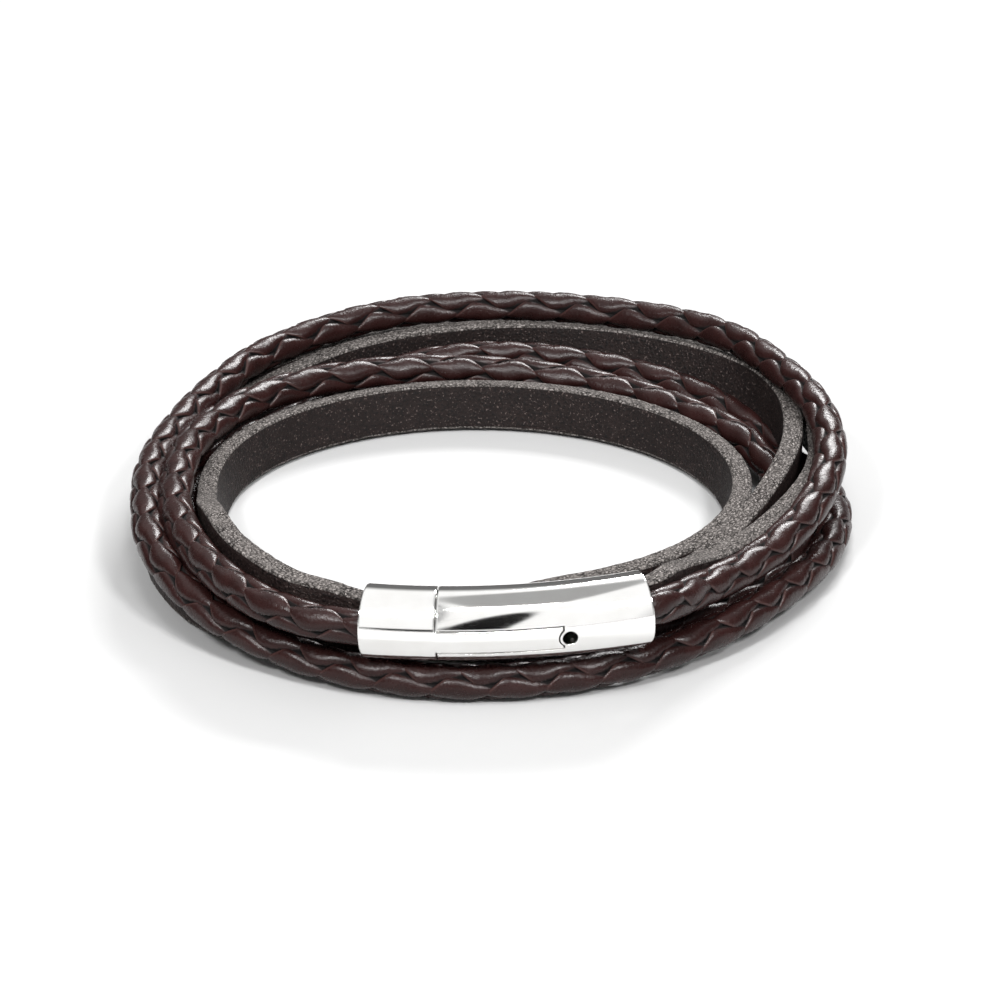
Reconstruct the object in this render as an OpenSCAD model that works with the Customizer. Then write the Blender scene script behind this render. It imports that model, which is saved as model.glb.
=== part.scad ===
// Layered leather bracelet: a round braided cord and a flat strap laid side by side, each three turns
// round the wrist, with their four ends glued into a two-part tube clasp. Sizes are in millimetres.

/* [Leather] */
// Diameter of the round braided cord
cord_d = 4.05; // [3.6:0.05:4.1]
// Thickness of the flat strap
strap_t = 2.4; // [1.8:0.1:2.5]
// Width of the flat strap
strap_w = 5.9; // [5:0.1:6]

/* [Opening] */
// Half width of the opening for the wrist, side to side
open_x = 30.8; // [30:0.2:33]
// Half depth of the opening, front to back
open_y = 26.3; // [26:0.1:28]

/* [Clasp] */
// Outer diameter of the clasp's tube
clasp_d = 8.1; // [8:0.1:8.6]
// Diameter of the sockets the strand ends are glued into
bore_d = 7.2; // [7.1:0.1:7.3]
// Length of the cap along its axis
cap_len = 7.9; // [7.7:0.1:8.5]
// Length of the barrel along its axis
barrel_len = 22.4; // [22:0.2:24]
// Radius the clasp is bent to in plan
bend_r = 59; // [54:1:66]
// Length of the tongue that shows in the barrel's slot
tongue_len = 12.9; // [12:0.1:13.4]
// Angle the tongue takes of the tube's round
tongue_arc = 39; // [32:1:46]
// Diameter of the round hole at the tongue's end
hole_d = 1.7; // [1.4:0.1:1.9]

/* [Hidden] */
$fn = 64;

// Depth of the sockets and the play between the clasp's two halves
cap_socket = 6.4;
barrel_socket = 5.4;
play = 0.16;

// The seam between the halves: its turn, outward distance and height, the way the tube runs there
// and how far it rises to the right
seam_turn = 4.5;
seam_out = 16.1;
seam_up = 8.85;
seam_aim = -5;
seam_rise = 2;

// Middle of the tongue on the tube's round, in degrees below the outward side, and its inner radius
tongue_drop = 6;
tongue_in = 3.1;

// Turn between two sections of a strand and the sides of the cord's outline
step = 4.5;
cord_sides = 12;

// Middle of the opening at the height the bracelet rests on, seen from the middle of the whole piece
opening_at = [-2.38, 1.15, 0.02];

// The braided cord, a row for each section: its turn in degrees from the front, clockwise seen from
// above, how far its middle is outside the opening's oval, how high it is and the width it keeps
// where its neighbours press it. Columns: turn, out, up, press.
cord_route = [
    [8, 17.9, 8.8, 0.84],
    [12, 17.8, 8.65, 0.84],
    [16, 17.7, 8.5, 0.84],
    [22, 17.5, 8.5, 0.95],
    [30, 16.5, 8.8, 1],
    [40, 13.9, 9, 1],
    [50, 10.9, 9, 1],
    [58, 8.8, 8.9, 1],
    [66, 7.1, 8.7, 1],
    [78, 4.9, 8.6, 1],
    [92, 3.8, 8.5, 1],
    [110, 3.7, 7.8, 1],
    [130, 4.4, 7.3, 1],
    [150, 4.7, 6.9, 1],
    [175, 4.9, 6.1, 1],
    [205, 4.8, 5.3, 1],
    [230, 4.8, 4.9, 1],
    [246, 5.6, 4.6, 1],
    [256, 6.1, 3.7, 0.9],
    [266, 6.9, 2.3, 0.8],
    [278, 8.4, 2.1, 0.8],
    [292, 9.5, 2.1, 0.8],
    [305, 9.8, 2.1, 0.9],
    [325, 9.8, 2.1, 1],
    [345, 9.4, 2.1, 1],
    [358, 8.4, 2.1, 1],
    [366, 7.5, 2.2, 0.9],
    [376, 6.8, 3.9, 1],
    [386, 6.4, 4.7, 1],
    [397, 5, 4.4, 1],
    [407, 3.5, 3.9, 1],
    [417, 2.9, 2.9, 0.85],
    [430, 3.2, 2.1, 0.74],
    [450, 3.2, 2.1, 0.74],
    [480, 4.4, 2.1, 0.9],
    [505, 5.5, 2.6, 1],
    [525, 8.2, 5, 1],
    [540, 9.3, 6, 1],
    [565, 9.2, 5.9, 1],
    [590, 8.9, 5.2, 1],
    [602, 9.4, 3.6, 0.9],
    [610, 10.2, 2.4, 0.9],
    [618, 11.2, 2.1, 1],
    [628, 12.3, 2.1, 1],
    [648, 12.6, 2.5, 1],
    [665, 13.2, 3.1, 1],
    [683, 15, 3, 1],
    [700, 16.4, 2.4, 1],
    [720, 16.9, 2.1, 1],
    [735, 16.4, 2.3, 1],
    [747, 15.7, 3, 1],
    [760, 15, 4.6, 1],
    [770, 13.8, 6.2, 1],
    [780, 11.9, 7.2, 1],
    [793, 9.1, 7.6, 1],
    [810, 7.5, 7.7, 1],
    [828, 7.3, 7.8, 1],
    [846, 9.6, 8, 1],
    [860, 12.9, 8.3, 1],
    [885, 15.9, 9.6, 1],
    [905, 15.8, 10.4, 1],
    [925, 15.8, 10.8, 1],
    [945, 14.8, 11.6, 1],
    [962, 12.2, 11.9, 1],
    [980, 11.5, 11.6, 1],
    [998, 11.5, 10.6, 1],
    [1012, 11.5, 9.2, 1],
    [1026, 11.6, 7.9, 1],
    [1036, 12.3, 7.6, 1],
    [1045, 14.3, 8.4, 1],
    [1050, 16.6, 9.4, 0.95],
    [1055, 18.6, 10.1, 0.84],
    [1058, 18.5, 10.1, 0.84],
    [1061.5, 18.3, 10, 0.84]
];

// The flat strap in the same way, with its lean, the angle its upper edge is turned outward.
// Columns: turn, out, up, lean, press.
strap_route = [
    [8, 15, 8.8, 0, 0.84],
    [12, 14.9, 8.65, 0, 0.84],
    [16, 14.8, 8.5, 0, 0.86],
    [22, 14.3, 8.6, 0, 0.95],
    [27, 14, 8.8, 0, 1],
    [35, 11.8, 8.9, 0, 1],
    [42, 9.7, 8.8, 0, 1],
    [51, 6.8, 8.5, 0, 1],
    [58, 4.7, 7.4, 2, 1],
    [66, 2.9, 5.7, 5, 1],
    [77, 1.1, 3.9, 8, 1],
    [90, 0.5, 3.2, 9, 1],
    [110, 0.5, 3.15, 9, 1],
    [180, 0.75, 3.15, 10, 1],
    [260, 0.8, 3.15, 9, 1],
    [285, 1, 3.1, 6, 1],
    [303, 1.2, 2.95, 0, 1],
    [318, 1.3, 2.95, 0, 1],
    [333, 1.4, 2.95, 0, 1],
    [345, 1.7, 3.15, 15, 1],
    [358, 2.5, 3, 50, 1],
    [371, 2.7, 1.45, 86, 1],
    [390, 4.2, 1.4, 88, 1],
    [405, 5.5, 2.65, 60, 1],
    [413, 5.8, 3.15, 38, 0.95],
    [420, 5.9, 3.25, 18, 0.85],
    [435, 5.7, 3, 0, 0.8],
    [455, 5.8, 3, 0, 0.8],
    [478, 7.3, 3, 0, 0.85],
    [500, 10.4, 3.4, 0, 1],
    [520, 12.2, 5, 0, 1],
    [540, 12.5, 6.3, 0, 1],
    [552, 12.6, 6.5, 8, 1],
    [568, 12.8, 6.7, 17, 1],
    [592, 12.6, 7, 17, 1],
    [606, 11, 7.2, 6, 1],
    [614, 9.6, 7.2, 0, 1],
    [622, 8, 7.2, 0, 1],
    [636, 5.9, 6.8, 0, 1],
    [650, 4.3, 5, 0, 1],
    [665, 3.8, 3.3, 0, 1],
    [678, 4.8, 3, 0, 1],
    [690, 6.2, 3.2, 0, 1],
    [702, 6.6, 4.9, 45, 1],
    [712, 7.6, 5.7, 70, 1],
    [722, 8.6, 5.6, 64, 1],
    [731, 10.4, 4.4, 22, 1],
    [739, 11.3, 3.2, 0, 1],
    [755, 11.8, 3.1, -6, 1],
    [767, 11.4, 3.15, -12, 1],
    [780, 9.8, 3.15, -10, 1],
    [795, 8.2, 3, -4, 1],
    [812, 8, 3, 0, 1],
    [832, 9.6, 3, 0, 1],
    [860, 14.2, 3.2, 0, 1],
    [885, 16.2, 4.2, 0, 1],
    [905, 16.7, 4.8, 0, 1],
    [930, 16.8, 5.2, 0, 1],
    [950, 15.5, 5.9, -6, 1],
    [970, 12.9, 6.5, -16, 1],
    [985, 11.4, 6.3, -16, 1],
    [1000, 9.3, 5.9, -8, 1],
    [1013, 7, 4.5, 0, 1],
    [1024, 6.5, 4.2, 0, 1],
    [1033, 7.1, 4.6, 0, 1],
    [1041, 9.2, 6.2, 0, 1],
    [1048, 12.4, 8.2, 0, 1],
    [1055, 15.8, 9.6, 0, 0.84],
    [1058, 15.7, 9.6, 0, 0.84],
    [1061.5, 15.5, 9.5, 0, 0.84]
];

function unit(v) = v / norm(v);

// Outward direction from the opening's oval at a turn
function outward(x) = unit([-sin(x) / open_x, -cos(x) / open_y, 0]);

// A point given by its turn, outward distance and height
function lane(x, out, up) =
    opening_at + [-open_x * sin(x), -open_y * cos(x), up] + out * outward(x);

// Slope of column c at row i, from its two neighbours
function slope(t, i, c) =
    let (a = max(i - 1, 0), b = min(i + 1, len(t) - 1))
    (t[b][c] - t[a][c]) / (t[b][0] - t[a][0]);

// Row that starts the part of the route holding turn x
function row_of(t, x, i = 0) = (i >= len(t) - 2 || x <= t[i + 1][0]) ? i : row_of(t, x, i + 1);

// Smooth value of column c at turn x
function value(t, x, c) =
    let (
        i = row_of(t, x),
        h = t[i + 1][0] - t[i][0],
        u = (x - t[i][0]) / h,
        rise = 3 * u * u - 2 * u * u * u,
        start_bend = u * (1 - u) * (1 - u) * h * slope(t, i, c),
        end_bend = u * u * (u - 1) * h * slope(t, i + 1, c)
    )
    t[i][c] * (1 - rise) + t[i + 1][c] * rise + start_bend + end_bend;

// Middle of a strand at a turn, and the way it runs there
function middle(t, x) = lane(x, value(t, x, 1), value(t, x, 2));
function run_of(t, x) = unit(middle(t, x + 0.5) - middle(t, x - 0.5));

// One section of a strand: its outline's [across, up] pairs set square to the way it runs
function section(t, x, lean, outline) =
    let (
        run = run_of(t, x),
        tilted = sin(lean) * outward(x) + cos(lean) * [0, 0, 1],
        up = unit(tilted - (tilted * run) * run),
        across = cross(up, run)
    )
    [for (p = outline) middle(t, x) + p.x * across + p.y * up];

// Outline of the cord, pressed in width
function cord_outline(press) =
    [for (k = [0 : cord_sides - 1]) cord_d / 2 * [press * cos(360 * k / cord_sides), sin(360 * k / cord_sides)]];

// Outline of the strap, thinned by press and made narrower by trim, with its four edges taken off
function strap_outline(press, trim) =
    let (a = strap_t * press / 2, b = strap_w * trim / 2, e = 0.3)
    [[a, e - b], [a, b - e], [a - e, b], [e - a, b], [-a, b - e], [-a, e - b], [e - a, -b], [a - e, -b]];

// How much of its width the strap keeps: its ends are trimmed to go into the clasp
function trim_at(t, x) =
    let (from_end = min(x - t[0][0], t[len(t) - 1][0] - x), u = min(max((from_end - 7) / 6, 0), 1))
    0.88 + 0.12 * u * u * (3 - 2 * u);

// Turns of a strand's sections, evenly from its first row to its last
function turns_of(t) =
    let (a = t[0][0], b = t[len(t) - 1][0], n = ceil((b - a) / step))
    [for (i = [0 : n]) a + (b - a) * i / n];

// Solid through a list of sections that all have the same number of points
module swept(sections) {
    m = len(sections[0]);
    last = len(sections) - 1;
    sides = [
        for (i = [0 : last - 1], k = [0 : m - 1])
            let (a = i * m + k, b = i * m + (k + 1) % m)
            each [[a, a + m, b + m], [a, b + m, b]]
    ];
    start = [for (k = [0 : m - 1]) k];
    end = [for (k = [m - 1 : -1 : 0]) last * m + k];
    polyhedron(points = [for (s = sections) each s], faces = concat(sides, [start], [end]), convexity = 12);
}

module braided_cord() {
    color([0.23, 0.15, 0.14])
        swept([for (x = turns_of(cord_route)) section(cord_route, x, 0, cord_outline(value(cord_route, x, 3)))]);
}

module flat_strap() {
    color([0.2, 0.15, 0.14])
        swept([
            for (x = turns_of(strap_route))
                section(
                    strap_route,
                    x,
                    value(strap_route, x, 3),
                    strap_outline(value(strap_route, x, 4), trim_at(strap_route, x))
                )
        ]);
}

// Angle along the clasp's bend for a length on its axis
function bend(length) = length / bend_r * 180 / PI;

// The clasp's own place: its seam at the origin, the barrel running along X, the wrist towards Y
module at_seam() {
    translate(lane(seam_turn, seam_out, seam_up))
        rotate([0, -seam_rise, 0])
            rotate([0, 0, seam_aim])
                children();
}

// Puts its children at a length along the axis, still with the tube running along X
module on_axis(at) {
    translate([0, bend_r, 0])
        rotate([0, 0, bend(at)])
            translate([0, -bend_r, 0])
                children();
}

// Sweeps a profile along the bend, from one length on the axis to another
module bent(from, to) {
    translate([0, bend_r, 0])
        rotate([0, 0, bend(from) - 90])
            rotate_extrude(angle = bend(to - from), $fn = 180)
                translate([bend_r, 0])
                    children();
}

// Drills out through the tube where the tongue ends
module drill(r) {
    on_axis(tongue_len + 0.7)
        rotate([90 + tongue_drop, 0, 0])
            cylinder(h = clasp_d, r = r);
}

// The tongue's form, hollow at its end where it comes up to the hole, grown all round for its slot
module tongue_form(grow, outer) {
    half = tongue_arc / 2 + grow * 14;
    reach = clasp_d;
    difference() {
        bent(-0.6, tongue_len + grow)
            intersection() {
                difference() {
                    circle(r = outer);
                    circle(r = tongue_in - grow);
                }
                rotate(-tongue_drop)
                    polygon([[0, 0], [reach * cos(half), -reach * sin(half)], [reach * cos(half), reach * sin(half)]]);
            }
        drill(hole_d / 2 + 0.4 - grow);
    }
}

module clasp_cap() {
    color([0.78, 0.78, 0.8])
        at_seam() {
            difference() {
                bent(-cap_len, -play / 2)
                    circle(d = clasp_d);
                bent(-cap_len - 1, cap_socket - cap_len)
                    circle(d = bore_d);
            }
            bent(-0.6, 2.2)
                circle(d = bore_d - 2 * play);
            tongue_form(0, clasp_d / 2 - 0.05);
        }
}

module clasp_barrel() {
    color([0.78, 0.78, 0.8])
        at_seam()
            difference() {
                bent(play / 2, barrel_len)
                    circle(d = clasp_d);
                bent(-1, barrel_len - barrel_socket - 0.9)
                    circle(d = bore_d);
                bent(barrel_len - barrel_socket, barrel_len + 1)
                    circle(d = bore_d);
                tongue_form(play, clasp_d);
                drill(hole_d / 2);
            }
}

clasp_cap();
clasp_barrel();
flat_strap();
braided_cord();
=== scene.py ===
import math

import bpy
import numpy as np
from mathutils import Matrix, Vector, noise


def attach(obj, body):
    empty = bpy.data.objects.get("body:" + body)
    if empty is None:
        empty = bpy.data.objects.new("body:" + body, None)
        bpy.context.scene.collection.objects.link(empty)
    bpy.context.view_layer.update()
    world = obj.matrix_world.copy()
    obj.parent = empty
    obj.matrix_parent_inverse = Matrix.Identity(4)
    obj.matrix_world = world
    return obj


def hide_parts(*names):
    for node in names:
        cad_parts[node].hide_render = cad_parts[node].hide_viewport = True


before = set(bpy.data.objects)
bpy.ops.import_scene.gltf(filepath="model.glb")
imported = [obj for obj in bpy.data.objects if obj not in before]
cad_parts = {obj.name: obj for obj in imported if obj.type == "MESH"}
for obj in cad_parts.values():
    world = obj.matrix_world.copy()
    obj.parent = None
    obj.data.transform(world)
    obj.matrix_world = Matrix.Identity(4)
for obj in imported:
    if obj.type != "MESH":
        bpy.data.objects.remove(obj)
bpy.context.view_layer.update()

MM = 0.001

# The opening and the strands, in millimetres, as in the part's source
OPEN_X, OPEN_Y = 30.8, 26.3
OPENING_AT = np.array([-2.38, 1.15, 0.02])
CORD_D = 4.05
STRAP_T, STRAP_W = 2.4, 5.9

# Columns: turn, out, up, press
CORD_ROUTE = [
    (8, 17.9, 8.8, 0.84), (12, 17.8, 8.65, 0.84), (16, 17.7, 8.5, 0.84), (22, 17.5, 8.5, 0.95),
    (30, 16.5, 8.8, 1), (40, 13.9, 9, 1), (50, 10.9, 9, 1), (58, 8.8, 8.9, 1), (66, 7.1, 8.7, 1),
    (78, 4.9, 8.6, 1), (92, 3.8, 8.5, 1), (110, 3.7, 7.8, 1), (130, 4.4, 7.3, 1), (150, 4.7, 6.9, 1),
    (175, 4.9, 6.1, 1), (205, 4.8, 5.3, 1), (230, 4.8, 4.9, 1), (246, 5.6, 4.6, 1),
    (256, 6.1, 3.7, 0.9), (266, 6.9, 2.3, 0.8), (278, 8.4, 2.1, 0.8), (292, 9.5, 2.1, 0.8),
    (305, 9.8, 2.1, 0.9), (325, 9.8, 2.1, 1), (345, 9.4, 2.1, 1), (358, 8.4, 2.1, 1),
    (366, 7.5, 2.2, 0.9), (376, 6.8, 3.9, 1), (386, 6.4, 4.7, 1), (397, 5, 4.4, 1), (407, 3.5, 3.9, 1),
    (417, 2.9, 2.9, 0.85), (430, 3.2, 2.1, 0.74), (450, 3.2, 2.1, 0.74), (480, 4.4, 2.1, 0.9),
    (505, 5.5, 2.6, 1), (525, 8.2, 5, 1), (540, 9.3, 6, 1), (565, 9.2, 5.9, 1), (590, 8.9, 5.2, 1),
    (602, 9.4, 3.6, 0.9), (610, 10.2, 2.4, 0.9), (618, 11.2, 2.1, 1), (628, 12.3, 2.1, 1),
    (648, 12.6, 2.5, 1), (665, 13.2, 3.1, 1), (683, 15, 3, 1), (700, 16.4, 2.4, 1), (720, 16.9, 2.1, 1),
    (735, 16.4, 2.3, 1), (747, 15.7, 3, 1), (760, 15, 4.6, 1), (770, 13.8, 6.2, 1), (780, 11.9, 7.2, 1),
    (793, 9.1, 7.6, 1), (810, 7.5, 7.7, 1), (828, 7.3, 7.8, 1), (846, 9.6, 8, 1), (860, 12.9, 8.3, 1),
    (885, 15.9, 9.6, 1), (905, 15.8, 10.4, 1), (925, 15.8, 10.8, 1), (945, 14.8, 11.6, 1),
    (962, 12.2, 11.9, 1), (980, 11.5, 11.6, 1), (998, 11.5, 10.6, 1), (1012, 11.5, 9.2, 1),
    (1026, 11.6, 7.9, 1), (1036, 12.3, 7.6, 1), (1045, 14.3, 8.4, 1), (1050, 16.6, 9.4, 0.95),
    (1055, 18.6, 10.1, 0.84), (1058, 18.5, 10.1, 0.84), (1061.5, 18.3, 10, 0.84),
]

# Columns: turn, out, up, lean, press
STRAP_ROUTE = [
    (8, 15, 8.8, 0, 0.84), (12, 14.9, 8.65, 0, 0.84), (16, 14.8, 8.5, 0, 0.86),
    (22, 14.3, 8.6, 0, 0.95), (27, 14, 8.8, 0, 1), (35, 11.8, 8.9, 0, 1), (42, 9.7, 8.8, 0, 1),
    (51, 6.8, 8.5, 0, 1), (58, 4.7, 7.4, 2, 1), (66, 2.9, 5.7, 5, 1), (77, 1.1, 3.9, 8, 1),
    (90, 0.5, 3.2, 9, 1), (110, 0.5, 3.15, 9, 1), (180, 0.75, 3.15, 10, 1), (260, 0.8, 3.15, 9, 1),
    (285, 1, 3.1, 6, 1), (303, 1.2, 2.95, 0, 1), (318, 1.3, 2.95, 0, 1), (333, 1.4, 2.95, 0, 1),
    (345, 1.7, 3.15, 15, 1), (358, 2.5, 3, 50, 1), (371, 2.7, 1.45, 86, 1), (390, 4.2, 1.4, 88, 1),
    (405, 5.5, 2.65, 60, 1), (413, 5.8, 3.15, 38, 0.95), (420, 5.9, 3.25, 18, 0.85),
    (435, 5.7, 3, 0, 0.8), (455, 5.8, 3, 0, 0.8), (478, 7.3, 3, 0, 0.85), (500, 10.4, 3.4, 0, 1),
    (520, 12.2, 5, 0, 1), (540, 12.5, 6.3, 0, 1), (552, 12.6, 6.5, 8, 1), (568, 12.8, 6.7, 17, 1),
    (592, 12.6, 7, 17, 1), (606, 11, 7.2, 6, 1), (614, 9.6, 7.2, 0, 1), (622, 8, 7.2, 0, 1),
    (636, 5.9, 6.8, 0, 1), (650, 4.3, 5, 0, 1), (665, 3.8, 3.3, 0, 1), (678, 4.8, 3, 0, 1),
    (690, 6.2, 3.2, 0, 1), (702, 6.6, 4.9, 45, 1), (712, 7.6, 5.7, 70, 1), (722, 8.6, 5.6, 64, 1),
    (731, 10.4, 4.4, 22, 1), (739, 11.3, 3.2, 0, 1), (755, 11.8, 3.1, -6, 1), (767, 11.4, 3.15, -12, 1),
    (780, 9.8, 3.15, -10, 1), (795, 8.2, 3, -4, 1), (812, 8, 3, 0, 1), (832, 9.6, 3, 0, 1),
    (860, 14.2, 3.2, 0, 1), (885, 16.2, 4.2, 0, 1), (905, 16.7, 4.8, 0, 1), (930, 16.8, 5.2, 0, 1),
    (950, 15.5, 5.9, -6, 1), (970, 12.9, 6.5, -16, 1), (985, 11.4, 6.3, -16, 1),
    (1000, 9.3, 5.9, -8, 1), (1013, 7, 4.5, 0, 1), (1024, 6.5, 4.2, 0, 1), (1033, 7.1, 4.6, 0, 1),
    (1041, 9.2, 6.2, 0, 1), (1048, 12.4, 8.2, 0, 1), (1055, 15.8, 9.6, 0, 0.84),
    (1058, 15.7, 9.6, 0, 0.84), (1061.5, 15.5, 9.5, 0, 0.84),
]


def unit(v):
    return v / np.linalg.norm(v, axis=-1, keepdims=True)


def outward(turn):
    a = np.radians(turn)
    return unit(np.stack([-np.sin(a) / OPEN_X, -np.cos(a) / OPEN_Y, np.zeros_like(a)], -1))


def lane(turn, out, up):
    a = np.radians(turn)
    oval = np.stack([-OPEN_X * np.sin(a), -OPEN_Y * np.cos(a), up], -1)
    return OPENING_AT + oval + out[..., None] * outward(turn)


class Route:
    """A strand's way round the wrist, read from its table, with its length measured along it."""

    def __init__(self, rows):
        self.rows = np.array(rows, float)
        self.turns = self.rows[:, 0]
        self.fine = np.arange(self.turns[0], self.turns[-1] + 0.05, 0.1)
        steps = np.linalg.norm(np.diff(self.middle(self.fine), axis=0), axis=1)
        self.along = np.concatenate([[0], np.cumsum(steps)])
        self.length = self.along[-1]

    def value(self, turn, column):
        """A column of the table at each turn, on a smooth curve through its rows."""
        t, c = self.turns, self.rows[:, column]
        row = np.arange(len(t))
        before, after = np.maximum(row - 1, 0), np.minimum(row + 1, row[-1])
        slopes = (c[after] - c[before]) / (t[after] - t[before])
        i = np.clip(np.searchsorted(t, turn, "left") - 1, 0, len(t) - 2)
        h = t[i + 1] - t[i]
        u = (turn - t[i]) / h
        rise = 3 * u**2 - 2 * u**3
        bends = u * (1 - u) ** 2 * h * slopes[i] + u**2 * (u - 1) * h * slopes[i + 1]
        return c[i] * (1 - rise) + c[i + 1] * rise + bends

    def middle(self, turn):
        return lane(turn, self.value(turn, 1), self.value(turn, 2))

    def turn_at(self, along):
        return np.interp(along, self.along, self.fine)

    def frames(self, turn, lean):
        """Middle, across and up at each turn, the two directions square to the way the strand runs."""
        run = unit(self.middle(turn + 0.5) - self.middle(turn - 0.5))
        tilt = np.radians(lean)[..., None]
        tilted = np.sin(tilt) * outward(turn) + np.cos(tilt) * np.array([0.0, 0.0, 1.0])
        up = unit(tilted - (tilted * run).sum(-1, keepdims=True) * run)
        return self.middle(turn), np.cross(up, run), up


cord = Route(CORD_ROUTE)
strap = Route(STRAP_ROUTE)


def add_object(name, data):
    obj = bpy.data.objects.new(name, data)
    bpy.context.scene.collection.objects.link(obj)
    return obj


def swept_mesh(name, points, attributes, material_of=None):
    """A closed tube with capped ends through rings of points in millimetres, as an array of rings, points in a
    ring and 3. material_of is the material of each side of a ring."""
    rings, sides = points.shape[:2]
    mesh = bpy.data.meshes.new(name)
    ring, side = np.meshgrid(np.arange(rings - 1), np.arange(sides), indexing="ij")
    a = ring * sides + side
    b = ring * sides + (side + 1) % sides
    quads = np.stack([a, a + sides, b + sides, b], -1).reshape(-1, 4)
    caps = [list(range(sides)), list(range(rings * sides - 1, (rings - 1) * sides - 1, -1))]
    mesh.from_pydata((points.reshape(-1, 3) * MM).tolist(), [], quads.tolist() + caps)
    for key, values in attributes.items():
        layer = mesh.attributes.new(key, "FLOAT", "POINT")
        layer.data.foreach_set("value", np.ascontiguousarray(values, np.float32).ravel())
    if material_of is not None:
        slots = np.concatenate([np.tile(material_of, rings - 1), [0, 0]]).astype(np.int32)
        mesh.polygons.foreach_set("material_index", slots)
    mesh.shade_smooth()
    mesh.update()
    return add_object(name, mesh)


# The braid: two laces wind each way round the cord, each over one and under one. Sizes in millimetres.
# Length of cord for one winding, and how much shorter it is at the front and longer at the back
PITCH = 13.0
PITCH_SWING = 0.9
# How far the laces are wound at the cord's start, in radians
WOUND_AT_START = 0.8
# A lace's width and thickness, and the power of its outline, between 2 for an ellipse and a box
LACE_W = 4.95
LACE_T = 0.95
LACE_POWER = 3.2
# How far a lace lies out where it passes over the others and in where it passes under them
WEAVE = 0.5
LACE_MID = CORD_D / 2 - LACE_T / 2 - WEAVE
# How much of a lace's width counts as way along it, so that one edge rises before the other
SHINGLE = 0.45
# Length between two rings of a lace, points in a ring, and how near a point comes to the cord's middle
LACE_STEP = 0.35
LACE_POINTS = 26
LACE_NEAREST = 0.05

# Which way the first pair's scales face round the cord, outward from straight up. Columns: turn, degrees.
FACING = [
    (8, 55), (16, 55), (90, 0), (180, -60), (290, -30), (450, -20), (540, -30), (630, 16),
    (720, 16), (810, 17), (900, -20), (990, 5), (1050, 50), (1061.5, 50),
]


def lace_outline():
    """Points round a lace's section, between an ellipse and a box, across it and out from its middle."""
    a = np.arange(LACE_POINTS) * 2 * np.pi / LACE_POINTS
    c, s = np.cos(a), np.sin(a)
    across = np.sign(c) * np.abs(c) ** (2 / LACE_POWER)
    out = np.sign(s) * np.abs(s) ** (2 / LACE_POWER)
    return across * LACE_W / 2, out * LACE_T / 2


def lace(name, hand, start, over):
    """One lace of the braid. hand is the way it winds, start its angle at the cord's start in half turns
    and over the angle where it lies on top of the others, in degrees."""
    ring = np.arange(0, cord.length + LACE_STEP / 2, LACE_STEP)
    pitch = PITCH - PITCH_SWING * np.cos(np.radians(cord.turn_at(ring)))
    wound = WOUND_AT_START + np.cumsum(2 * np.pi * LACE_STEP / pitch)
    theta = (hand * wound + start * np.pi)[:, None]
    across_lace, out_of_lace = lace_outline()
    # Rings lie square to the lace, which runs aslant round the cord
    slant = (hand * np.pi * CORD_D / pitch)[:, None]
    aslant = np.hypot(1, slant)
    along = np.clip(ring[:, None] - slant / aslant * across_lace, 0, cord.length)
    spread = across_lace / aslant / (CORD_D / 2)
    wave = np.cos(2 * (theta + SHINGLE * spread - math.radians(over)))
    # Flatter over and under, steeper in between
    for _ in range(2):
        wave = wave * (1.5 - 0.5 * wave**2)
    radius = np.maximum(LACE_MID + WEAVE * wave + out_of_lace, LACE_NEAREST)
    turn = cord.turn_at(along)
    angle = theta + spread + np.radians(np.interp(turn, *zip(*FACING)))
    press = cord.value(turn, 3)
    middle, across, up = cord.frames(turn, np.zeros_like(turn))
    points = (
        middle
        + (radius * np.cos(angle))[..., None] * up
        + (radius * np.sin(angle) * press)[..., None] * across
    )
    rim = np.broadcast_to(np.abs(across_lace) / (LACE_W / 2), along.shape)
    sunk = CORD_D / 2 - radius
    obj = swept_mesh(name, points, {"rim": rim, "sunk": sunk})
    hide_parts("braided_cord")
    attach(obj, "root")
    return obj


laces = [
    lace("braid_lace_1", -1, 0, 0),
    lace("braid_lace_2", -1, 1, 0),
    lace("braid_lace_3", 1, 0, 90),
    lace("braid_lace_4", 1, 1, 90),
]


# The flat strap: a rounded section with a smooth outer face, raw cut edges and a rough inner face.
# Length between two rings, in millimetres
STRAP_STEP = 0.4
# Radius of the section's corners, steps round each, and points between them on the faces and edges
CORNER_R = 0.32
CORNER_STEPS = 3
FACE_POINTS = 7
EDGE_POINTS = 3
# Width that the ends have in the clasp, as a share, the turn they keep it for and the turn it takes to widen
END_SHARE = 0.88
END_TURN = 7
WIDEN_TURN = 6
# How uneven the cut edges are, out from the edge and through the strap, in millimetres
UNEVEN_OUT = 0.07
UNEVEN_THROUGH = 0.05
# Materials in the strap's slots
OUTER_FACE, CUT_EDGE, INNER_FACE = 0, 1, 2


def strap_section():
    """The section's points, each as shares of the half sizes and of the corners' radius, and the material of
    the side that follows each point."""
    points, materials = [], []
    corners = [(1, 1), (-1, 1), (-1, -1), (1, -1)]
    edge = (CUT_EDGE, EDGE_POINTS)
    sides = [edge, (INNER_FACE, FACE_POINTS), edge, (OUTER_FACE, FACE_POINTS)]
    for quarter, (material, count) in enumerate(sides):
        x, y = corners[quarter]
        next_x, next_y = corners[(quarter + 1) % 4]
        for k in range(CORNER_STEPS + 1):
            a = math.pi / 2 * (quarter + k / CORNER_STEPS)
            points.append((x, y, math.cos(a), math.sin(a)))
            materials.append(CUT_EDGE)
        materials[-1] = material
        for k in range(1, count + 1):
            u = k / (count + 1)
            points.append((x + (next_x - x) * u, y + (next_y - y) * u, math.cos(a), math.sin(a)))
            materials.append(material)
    return np.array(points), materials


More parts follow.
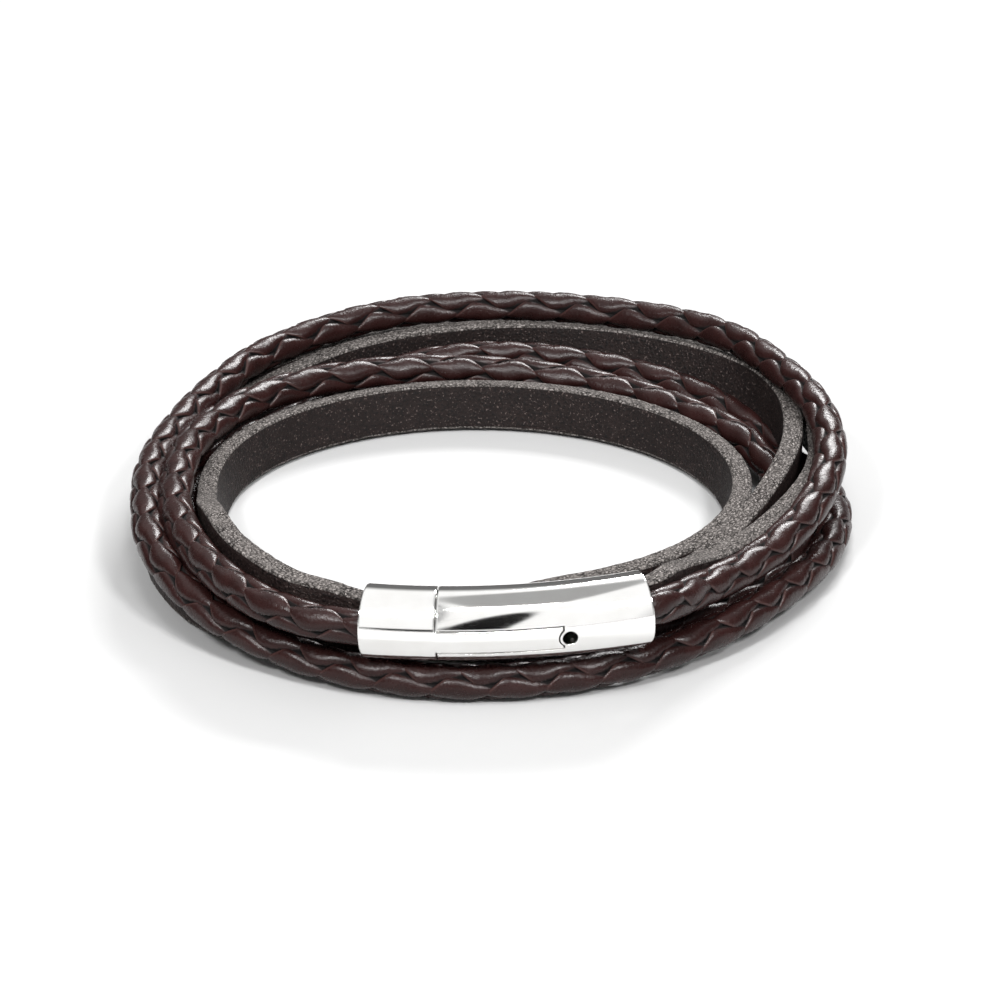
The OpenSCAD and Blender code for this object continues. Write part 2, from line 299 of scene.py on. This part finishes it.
def make_strap():
    rings = math.ceil(strap.length / STRAP_STEP) + 1
    s = np.linspace(0, strap.length, rings)
    turn = strap.turn_at(s)
    from_end = np.minimum(turn - strap.turns[0], strap.turns[-1] - turn)
    u = np.clip((from_end - END_TURN) / WIDEN_TURN, 0, 1)
    half_w = STRAP_W / 2 * (END_SHARE + (1 - END_SHARE) * u * u * (3 - 2 * u))
    half_t = STRAP_T / 2 * strap.value(turn, 4)
    middle, across, up = strap.frames(turn, strap.value(turn, 3))
    section, materials = strap_section()
    x = section[:, 0] * (half_t[:, None] - CORNER_R) + section[:, 2] * CORNER_R
    y = section[:, 1] * (half_w[:, None] - CORNER_R) + section[:, 3] * CORNER_R
    cut = [k for k, material in enumerate(materials) if material == CUT_EDGE]
    for i in range(rings):
        for k in cut:
            out = noise.noise(Vector((s[i] * 1.3, x[i, k] * 2.2, y[i, k] * 0.6)))
            y[i, k] += UNEVEN_OUT * out * section[k, 1]
            through = noise.noise(Vector((s[i] * 1.1, 9.0, y[i, k] * 1.5)))
            x[i, k] += UNEVEN_THROUGH * through * section[k, 0]
    points = middle[:, None] + x[..., None] * across[:, None] + y[..., None] * up[:, None]
    along = np.broadcast_to(s[:, None], x.shape)
    obj = swept_mesh("strap_body", points, {"along": along, "across": y, "through": x}, materials)
    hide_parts("flat_strap")
    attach(obj, "root")
    return obj


strap_body = make_strap()


class Nodes:
    """Short calls that add nodes to one tree."""

    def __init__(self, tree):
        self.tree = tree

    def add(self, kind, **settings):
        node = self.tree.nodes.new(kind)
        for key, value in settings.items():
            setattr(node, key, value)
        return node

    def put(self, value, socket):
        """Gives a socket its value: another node's output, a colour or a number."""
        if isinstance(value, bpy.types.NodeSocket):
            self.tree.links.new(value, socket)
        elif isinstance(value, tuple):
            socket.default_value = (*value, 1)
        else:
            socket.default_value = value

    def math(self, operation, *values):
        node = self.add("ShaderNodeMath", operation=operation)
        for value, socket in zip(values, node.inputs):
            self.put(value, socket)
        return node.outputs[0]

    def ramp(self, value, stops):
        """A ramp through stops of a place and a shade or colour."""
        node = self.add("ShaderNodeValToRGB")
        elements = node.color_ramp.elements
        while len(elements) < len(stops):
            elements.new(0.5)
        for element, (place, colour) in zip(elements, stops):
            element.position = place
            element.color = (*colour, 1) if isinstance(colour, tuple) else (colour, colour, colour, 1)
        self.put(value, node.inputs["Fac"])
        return node.outputs["Color"]


class Look(Nodes):
    """A material and its nodes. Textures are laid out in millimetres."""

    def __init__(self, name):
        self.material = bpy.data.materials.new(name)
        self.material.use_nodes = True
        super().__init__(self.material.node_tree)

    def give(self, **values):
        """Gives the shader's sockets their values, with _ for a space in a socket's name."""
        shader = self.tree.nodes["Principled BSDF"]
        for key, value in values.items():
            self.put(value, shader.inputs[key.replace("_", " ")])

    def where(self, stretch=(1, 1, 1)):
        """Position on the piece, stretched."""
        mapping = self.add("ShaderNodeMapping")
        mapping.inputs["Scale"].default_value = [share / MM for share in stretch]
        self.put(self.add("ShaderNodeTexCoord").outputs["Object"], mapping.inputs["Vector"])
        return mapping.outputs["Vector"]

    def read(self, key):
        return self.add("ShaderNodeAttribute", attribute_name=key).outputs["Fac"]

    def route(self, stretch=(1, 1, 1)):
        """Position along, across and through the strand, stretched."""
        join = self.add("ShaderNodeCombineXYZ")
        for key, share, socket in zip(("along", "across", "through"), stretch, join.inputs):
            self.put(self.math("MULTIPLY", self.read(key), share), socket)
        return join.outputs[0]

    def noise(self, vector, scale, detail=3, roughness=0.5):
        node = self.add("ShaderNodeTexNoise")
        self.put(vector, node.inputs["Vector"])
        self.put(scale, node.inputs["Scale"])
        self.put(detail, node.inputs["Detail"])
        self.put(roughness, node.inputs["Roughness"])
        return node.outputs["Fac"]

    def cracks(self, vector, scale):
        node = self.add("ShaderNodeTexVoronoi", feature="DISTANCE_TO_EDGE")
        self.put(vector, node.inputs["Vector"])
        self.put(scale, node.inputs["Scale"])
        return node.outputs["Distance"]

    def mix(self, factor, a, b):
        node = self.add("ShaderNodeMix", data_type="RGBA")
        self.put(factor, node.inputs[0])
        self.put(a, node.inputs[6])
        self.put(b, node.inputs[7])
        return node.outputs[2]

    def bump(self, *layers):
        """Bump from layers of a height and its depth in millimetres."""
        normal = None
        for height, depth in layers:
            node = self.add("ShaderNodeBump")
            node.inputs["Strength"].default_value = 1
            node.inputs["Distance"].default_value = depth * MM
            self.put(height, node.inputs["Height"])
            if normal is not None:
                self.put(normal, node.inputs["Normal"])
            normal = node.outputs["Normal"]
        self.give(Normal=normal)


def braid_leather():
    """Dark brown leather with a painted highlight along the laces' rims, and painted shade, black and dull,
    deep between them.
    """
    dark, light = (0.013, 0.0044, 0.0040), (0.021, 0.0071, 0.0065)
    rim_highlight_colour, speck, crease_shade_colour = (0.06, 0.030, 0.027), (0.07, 0.05, 0.045), (0.002, 0.001, 0.001)
    dip_rough = (0.9, 0.9, 0.9)
    look = Look("braid_leather_look")
    at = look.where()
    tone = look.ramp(look.noise(at, 0.35, 4), [(0.3, dark), (0.7, light)])
    # Painted highlight: paler colour along each lace's rims, where the rounded edges catch the light
    rim_highlight_mask = look.ramp(look.read("rim"), [(0.86, 0.0), (0.95, 0.5), (1.0, 0.1)])
    tone = look.mix(rim_highlight_mask, tone, rim_highlight_colour)
    specks = look.ramp(look.noise(at, 5.0, 1), [(0.75, 0.0), (0.79, 0.5)])
    tone = look.mix(specks, tone, speck)
    # Painted shade: black where the surface lies deep between the laces, and made dull there so that it takes
    # no highlight
    crease_shade_mask = look.ramp(look.read("sunk"), [(0.28, 0.0), (0.42, 1.0)])
    rough = look.ramp(look.noise(at, 1.6), [(0.3, 0.23), (0.7, 0.34)])
    look.give(
        Base_Color=look.mix(crease_shade_mask, tone, crease_shade_colour),
        Roughness=look.mix(crease_shade_mask, rough, dip_rough),
        Specular_IOR_Level=0.27,
    )
    look.bump((look.noise(at, 2.2, 3, 0.6), 0.05), (look.noise(at, 7, 2, 0.6), 0.02))
    return look.material


def strap_face(name, dark, light, rough):
    """Leather between two tones, with black pores and a few pale specks."""
    pore, speck = (0.003, 0.002, 0.002), (0.13, 0.10, 0.092)
    look = Look(name)
    at = look.route()
    fine = look.noise(at, 5.5, 4, 0.65)
    pitted = look.noise(at, 2.6, 3, 0.6)
    tone = look.mix(look.ramp(look.noise(at, 0.5), [(0.35, 0.0), (0.7, 1.0)]), dark, light)
    tone = look.mix(look.ramp(pitted, [(0.38, 1.0), (0.48, 0.0)]), tone, pore)
    specks = look.ramp(look.noise(at, 3.6, 2, 0.6), [(0.62, 0.0), (0.70, 0.7)])
    look.give(
        Base_Color=look.mix(specks, tone, speck),
        Roughness=look.ramp(fine, [(0.3, rough - 0.08), (0.7, rough + 0.1)]),
        Specular_IOR_Level=0.22,
    )
    look.bump((pitted, 0.22), (fine, 0.07))
    return look.material


def strap_edge():
    """The raw cut edge: pale grey grit in a broken net of dark cracks."""
    dark, middle, light = (0.016, 0.014, 0.013), (0.11, 0.099, 0.093), (0.34, 0.31, 0.295)
    crack = (0.005, 0.0035, 0.003)
    look = Look("strap_edge_look")
    at = look.route()
    grit = look.noise(at, 3.4, 4, 0.7)
    net = look.ramp(look.cracks(look.route((0.9, 1.0, 1.7)), 1.7), [(0.04, 1.0), (0.17, 0.0)])
    patchy = look.ramp(look.noise(at, 0.9), [(0.35, 0.35), (0.65, 1.0)])
    tone = look.ramp(grit, [(0.34, dark), (0.5, middle), (0.66, light)])
    tone = look.mix(look.math("MULTIPLY", net, patchy), tone, crack)
    look.give(Base_Color=tone, Roughness=0.85, Specular_IOR_Level=0.15)
    look.bump((look.ramp(net, [(0.0, 1.0), (1.0, 0.0)]), 0.06), (grit, 0.12))
    return look.material


def steel():
    """Polished steel, with its fine marks along the tube and its edges a little rounded."""
    dark, light = (0.93, 0.92, 0.90), (0.97, 0.965, 0.95)
    along_tube = (0.15, 3.0, 3.0)
    look = Look("clasp_steel_look")
    edges = look.add("ShaderNodeBevel", samples=6)
    edges.inputs["Radius"].default_value = 0.28 * MM
    look.give(
        Metallic=1,
        Base_Color=look.ramp(look.noise(look.where(), 0.4, 2), [(0.3, dark), (0.7, light)]),
        Roughness=look.ramp(look.noise(look.where(along_tube), 3, 3, 0.6), [(0.3, 0.05), (0.7, 0.085)]),
        Normal=edges.outputs["Normal"],
    )
    return look.material


braid_look = braid_leather()
for obj in laces:
    obj.data.materials.append(braid_look)
outer_face = strap_face("strap_outer_look", (0.014, 0.0085, 0.008), (0.024, 0.016, 0.0145), 0.42)
inner_face = strap_face("strap_inner_look", (0.007, 0.0038, 0.0034), (0.0125, 0.0072, 0.0064), 0.65)
for material in (outer_face, strap_edge(), inner_face):
    strap_body.data.materials.append(material)
metal = steel()
for name in ("clasp_cap", "clasp_barrel"):
    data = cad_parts[name].data
    data.materials.clear()
    data.materials.append(metal)


# Half the floor's side and the camera's distance in metres, and how far the camera looks down in degrees
FLOOR_HALF = 3.0
CAMERA_DISTANCE = 0.413
CAMERA_DOWN = 26.2
# What the camera looks at, in millimetres, and its lens
CAMERA_AIM = (0.72, 6.99, 0.02)
CAMERA_LENS = 121.9
CAMERA_SENSOR = 36
# Each light's size in metres, power in watts and place; all aim at the same point
LIGHTS = {
    "back_light": ((0.26, 0.12), 3.8, (0.13, 0.41, 0.36)),
    "front_left": ((0.08, 0.08), 1.9, (-0.19, -0.34, 0.40)),
    "front_right": ((0.08, 0.08), 1.9, (0.20, -0.33, 0.38)),
    "top_light": ((0.12, 0.08), 0.9, (0.0, -0.20, 0.46)),
}
LIGHT_AIM = Vector((0, 0, 0.006))
# Dimmer patches of the tent: how far to the right the middle is and half the width, on the unit ball, the
# middle's lean forward from straight up and half the height in degrees, how much it slants aside, and where
# it starts to fade and its shade
PATCHES = {
    "gap overhead": (0.02, 0.15, -8, 34, 0.0, 0.75, 0.38),
    "photographer": (-0.07, 0.12, 82, 50, -0.14, 0.75, 0.01),
    "horizon": (-0.27, 0.22, 86, 4, 0.0, 0.5, 0.02),
    "fold in the tent": (-0.165, 0.012, 35, 54, -0.04, 0.3, 0.25),
}
TENT_STRENGTH = 1.04


def make_floor():
    mesh = bpy.data.meshes.new("floor")
    h = FLOOR_HALF
    mesh.from_pydata([(-h, -h, 0), (h, -h, 0), (h, h, 0), (-h, h, 0)], [], [(0, 1, 2, 3)])
    look = Look("floor_look")
    look.give(Base_Color=(0.44, 0.44, 0.44), Roughness=0.9, Specular_IOR_Level=0.1)
    mesh.materials.append(look.material)
    add_object("floor", mesh)


def make_camera():
    data = bpy.data.cameras.new("camera")
    data.sensor_width = CAMERA_SENSOR
    data.lens = CAMERA_LENS
    obj = add_object("camera", data)
    down = math.radians(CAMERA_DOWN)
    forward = Vector((0, math.cos(down), -math.sin(down)))
    obj.location = Vector(CAMERA_AIM) * MM - forward * CAMERA_DISTANCE
    obj.rotation_euler = (math.pi / 2 - down, 0, 0)
    bpy.context.scene.camera = obj


def make_world():
    """A white studio tent, dark at its far sides and low behind, with its dimmer patches."""
    world = bpy.data.worlds.new("studio")
    bpy.context.scene.world = world
    world.use_nodes = True
    nodes = Nodes(world.node_tree)
    split = nodes.add("ShaderNodeSeparateXYZ")
    nodes.put(nodes.add("ShaderNodeTexCoord").outputs["Generated"], split.inputs[0])
    right, back, up = split.outputs
    # The lean forward from straight up, in radians
    lean = nodes.math("ARCTAN2", nodes.math("MULTIPLY", back, -1.0), up)

    def patch(middle_right, half_width, middle_lean, half_height, slant):
        """How far a direction is from an oval patch's middle, 1 at its edge."""
        from_middle = nodes.math("SUBTRACT", lean, math.radians(middle_lean))
        b = nodes.math("DIVIDE", from_middle, math.radians(half_height))
        aside = nodes.math("MULTIPLY_ADD", b, slant, middle_right)
        a = nodes.math("DIVIDE", nodes.math("SUBTRACT", right, aside), half_width)
        return nodes.math("ADD", nodes.math("MULTIPLY", a, a), nodes.math("MULTIPLY", b, b))

    tent = nodes.ramp(nodes.math("ABSOLUTE", right), [(0.0, 1.0), (0.48, 1.0), (0.62, 0.2), (1.0, 0.1)])
    behind = nodes.ramp(nodes.math("MULTIPLY", lean, -1 / math.pi), [(0.27, 1.0), (0.36, 0.15)])
    light = nodes.math("MULTIPLY", tent, behind)
    for *oval, fade, shade in PATCHES.values():
        light = nodes.math("MULTIPLY", light, nodes.ramp(patch(*oval), [(fade, shade), (1.0, 1.0)]))
    background = nodes.tree.nodes["Background"]
    nodes.put(light, background.inputs["Color"])
    nodes.put(TENT_STRENGTH, background.inputs["Strength"])


def add_light(name, size, power, place):
    data = bpy.data.lights.new(name, "AREA")
    data.shape = "RECTANGLE"
    data.size, data.size_y = size
    data.energy = power
    obj = add_object(name, data)
    obj.location = place
    obj.rotation_euler = (LIGHT_AIM - Vector(place)).to_track_quat("-Z", "Y").to_euler()


make_floor()
make_camera()
make_world()
for name, settings in LIGHTS.items():
    add_light(name, *settings)

bpy.context.scene.view_settings.view_transform = "Standard"
bpy.context.scene.view_settings.look = "None"
